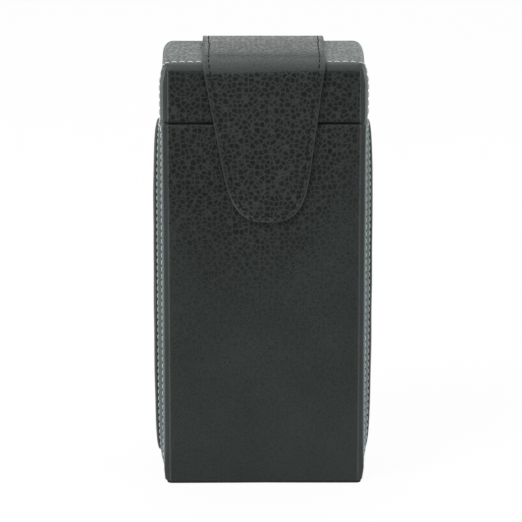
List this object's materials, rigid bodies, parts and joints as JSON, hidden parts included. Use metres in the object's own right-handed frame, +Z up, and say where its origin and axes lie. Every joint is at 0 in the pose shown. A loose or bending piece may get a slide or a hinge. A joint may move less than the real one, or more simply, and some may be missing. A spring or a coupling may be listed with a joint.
{
  "type": "watch travel case",
  "caption": "Upright leather-covered travel case for watches with a hinged lid and a magnetic fold-over flap strap, padded sides and a cushioned insert.",
  "frame": {"origin": "centre of the bounding box's base, on the surface that the case stands on", "axes": "+Z up, the front with its flap faces -Y, +X to the right seen from the front"},
  "size_m": [0.096, 0.0779, 0.1858],
  "materials": {
    "panel_leather": "black pebble-grained leather, satin",
    "wrap_leather": "black pebble-grained leather, stretched smooth over the edges",
    "strap_leather": "black pebble-grained leather with a smooth turned edge",
    "smooth_leather": "smooth black leather, matt",
    "card": "grey-brown bookbinder's board",
    "foam": "open-cell foam",
    "suede": "charcoal suede cloth",
    "cushion_suede": "soft charcoal suede cloth over foam",
    "ribbon": "black woven ribbon",
    "thread": "pale blue-white polyester thread",
    "dark_thread": "black polyester thread",
    "steel": "thin zinc-plated steel",
    "magnet": "nickel-plated disc magnet"
  },
  "bodies": {
    "case": {"body_shell": "card", "front_leather": "panel_leather", "back_leather": "panel_leather", "side_leather_left": "wrap_leather", "side_leather_right": "wrap_leather", "side_foam_left": "foam", "side_foam_right": "foam", "base_leather": "smooth_leather", "hinge_leather": "panel_leather", "hinge_backing": "ribbon", "catch_plate": "steel", "body_lining": "suede", "collar": "suede", "insert_floor": "suede", "insert_spine": "suede", "divider_lower": "suede", "divider_upper": "suede", "pull_tab": "ribbon", "watch_cushion_lower": "cushion_suede", "watch_cushion_middle": "cushion_suede", "watch_cushion_upper": "cushion_suede"},
    "lid": {"lid_shell": "card", "lid_front_leather": "panel_leather", "lid_back_leather": "panel_leather", "lid_wrap_leather": "wrap_leather", "lid_lining": "suede", "lid_pad": "cushion_suede", "strap_leather": "strap_leather", "strap_backing": "smooth_leather"},
    "flap": {"flap_leather": "strap_leather", "flap_backing": "smooth_leather", "flap_magnet": "magnet"}
  },
  "joints": [
    {"name": "lid_hinge", "type": "hinge", "parent": "case", "child": "lid", "pos_m": [0, 0.0373, 0.1583], "axis": [-1, 0, 0], "range_deg": [0, 150], "deforming": ["hinge_leather", "hinge_backing"]},
    {"name": "flap_hinge", "type": "hinge", "parent": "lid", "child": "flap", "pos_m": [0, -0.0382, 0.1773], "axis": [-1, 0, 0], "range_deg": [0, 110]}
  ]
}
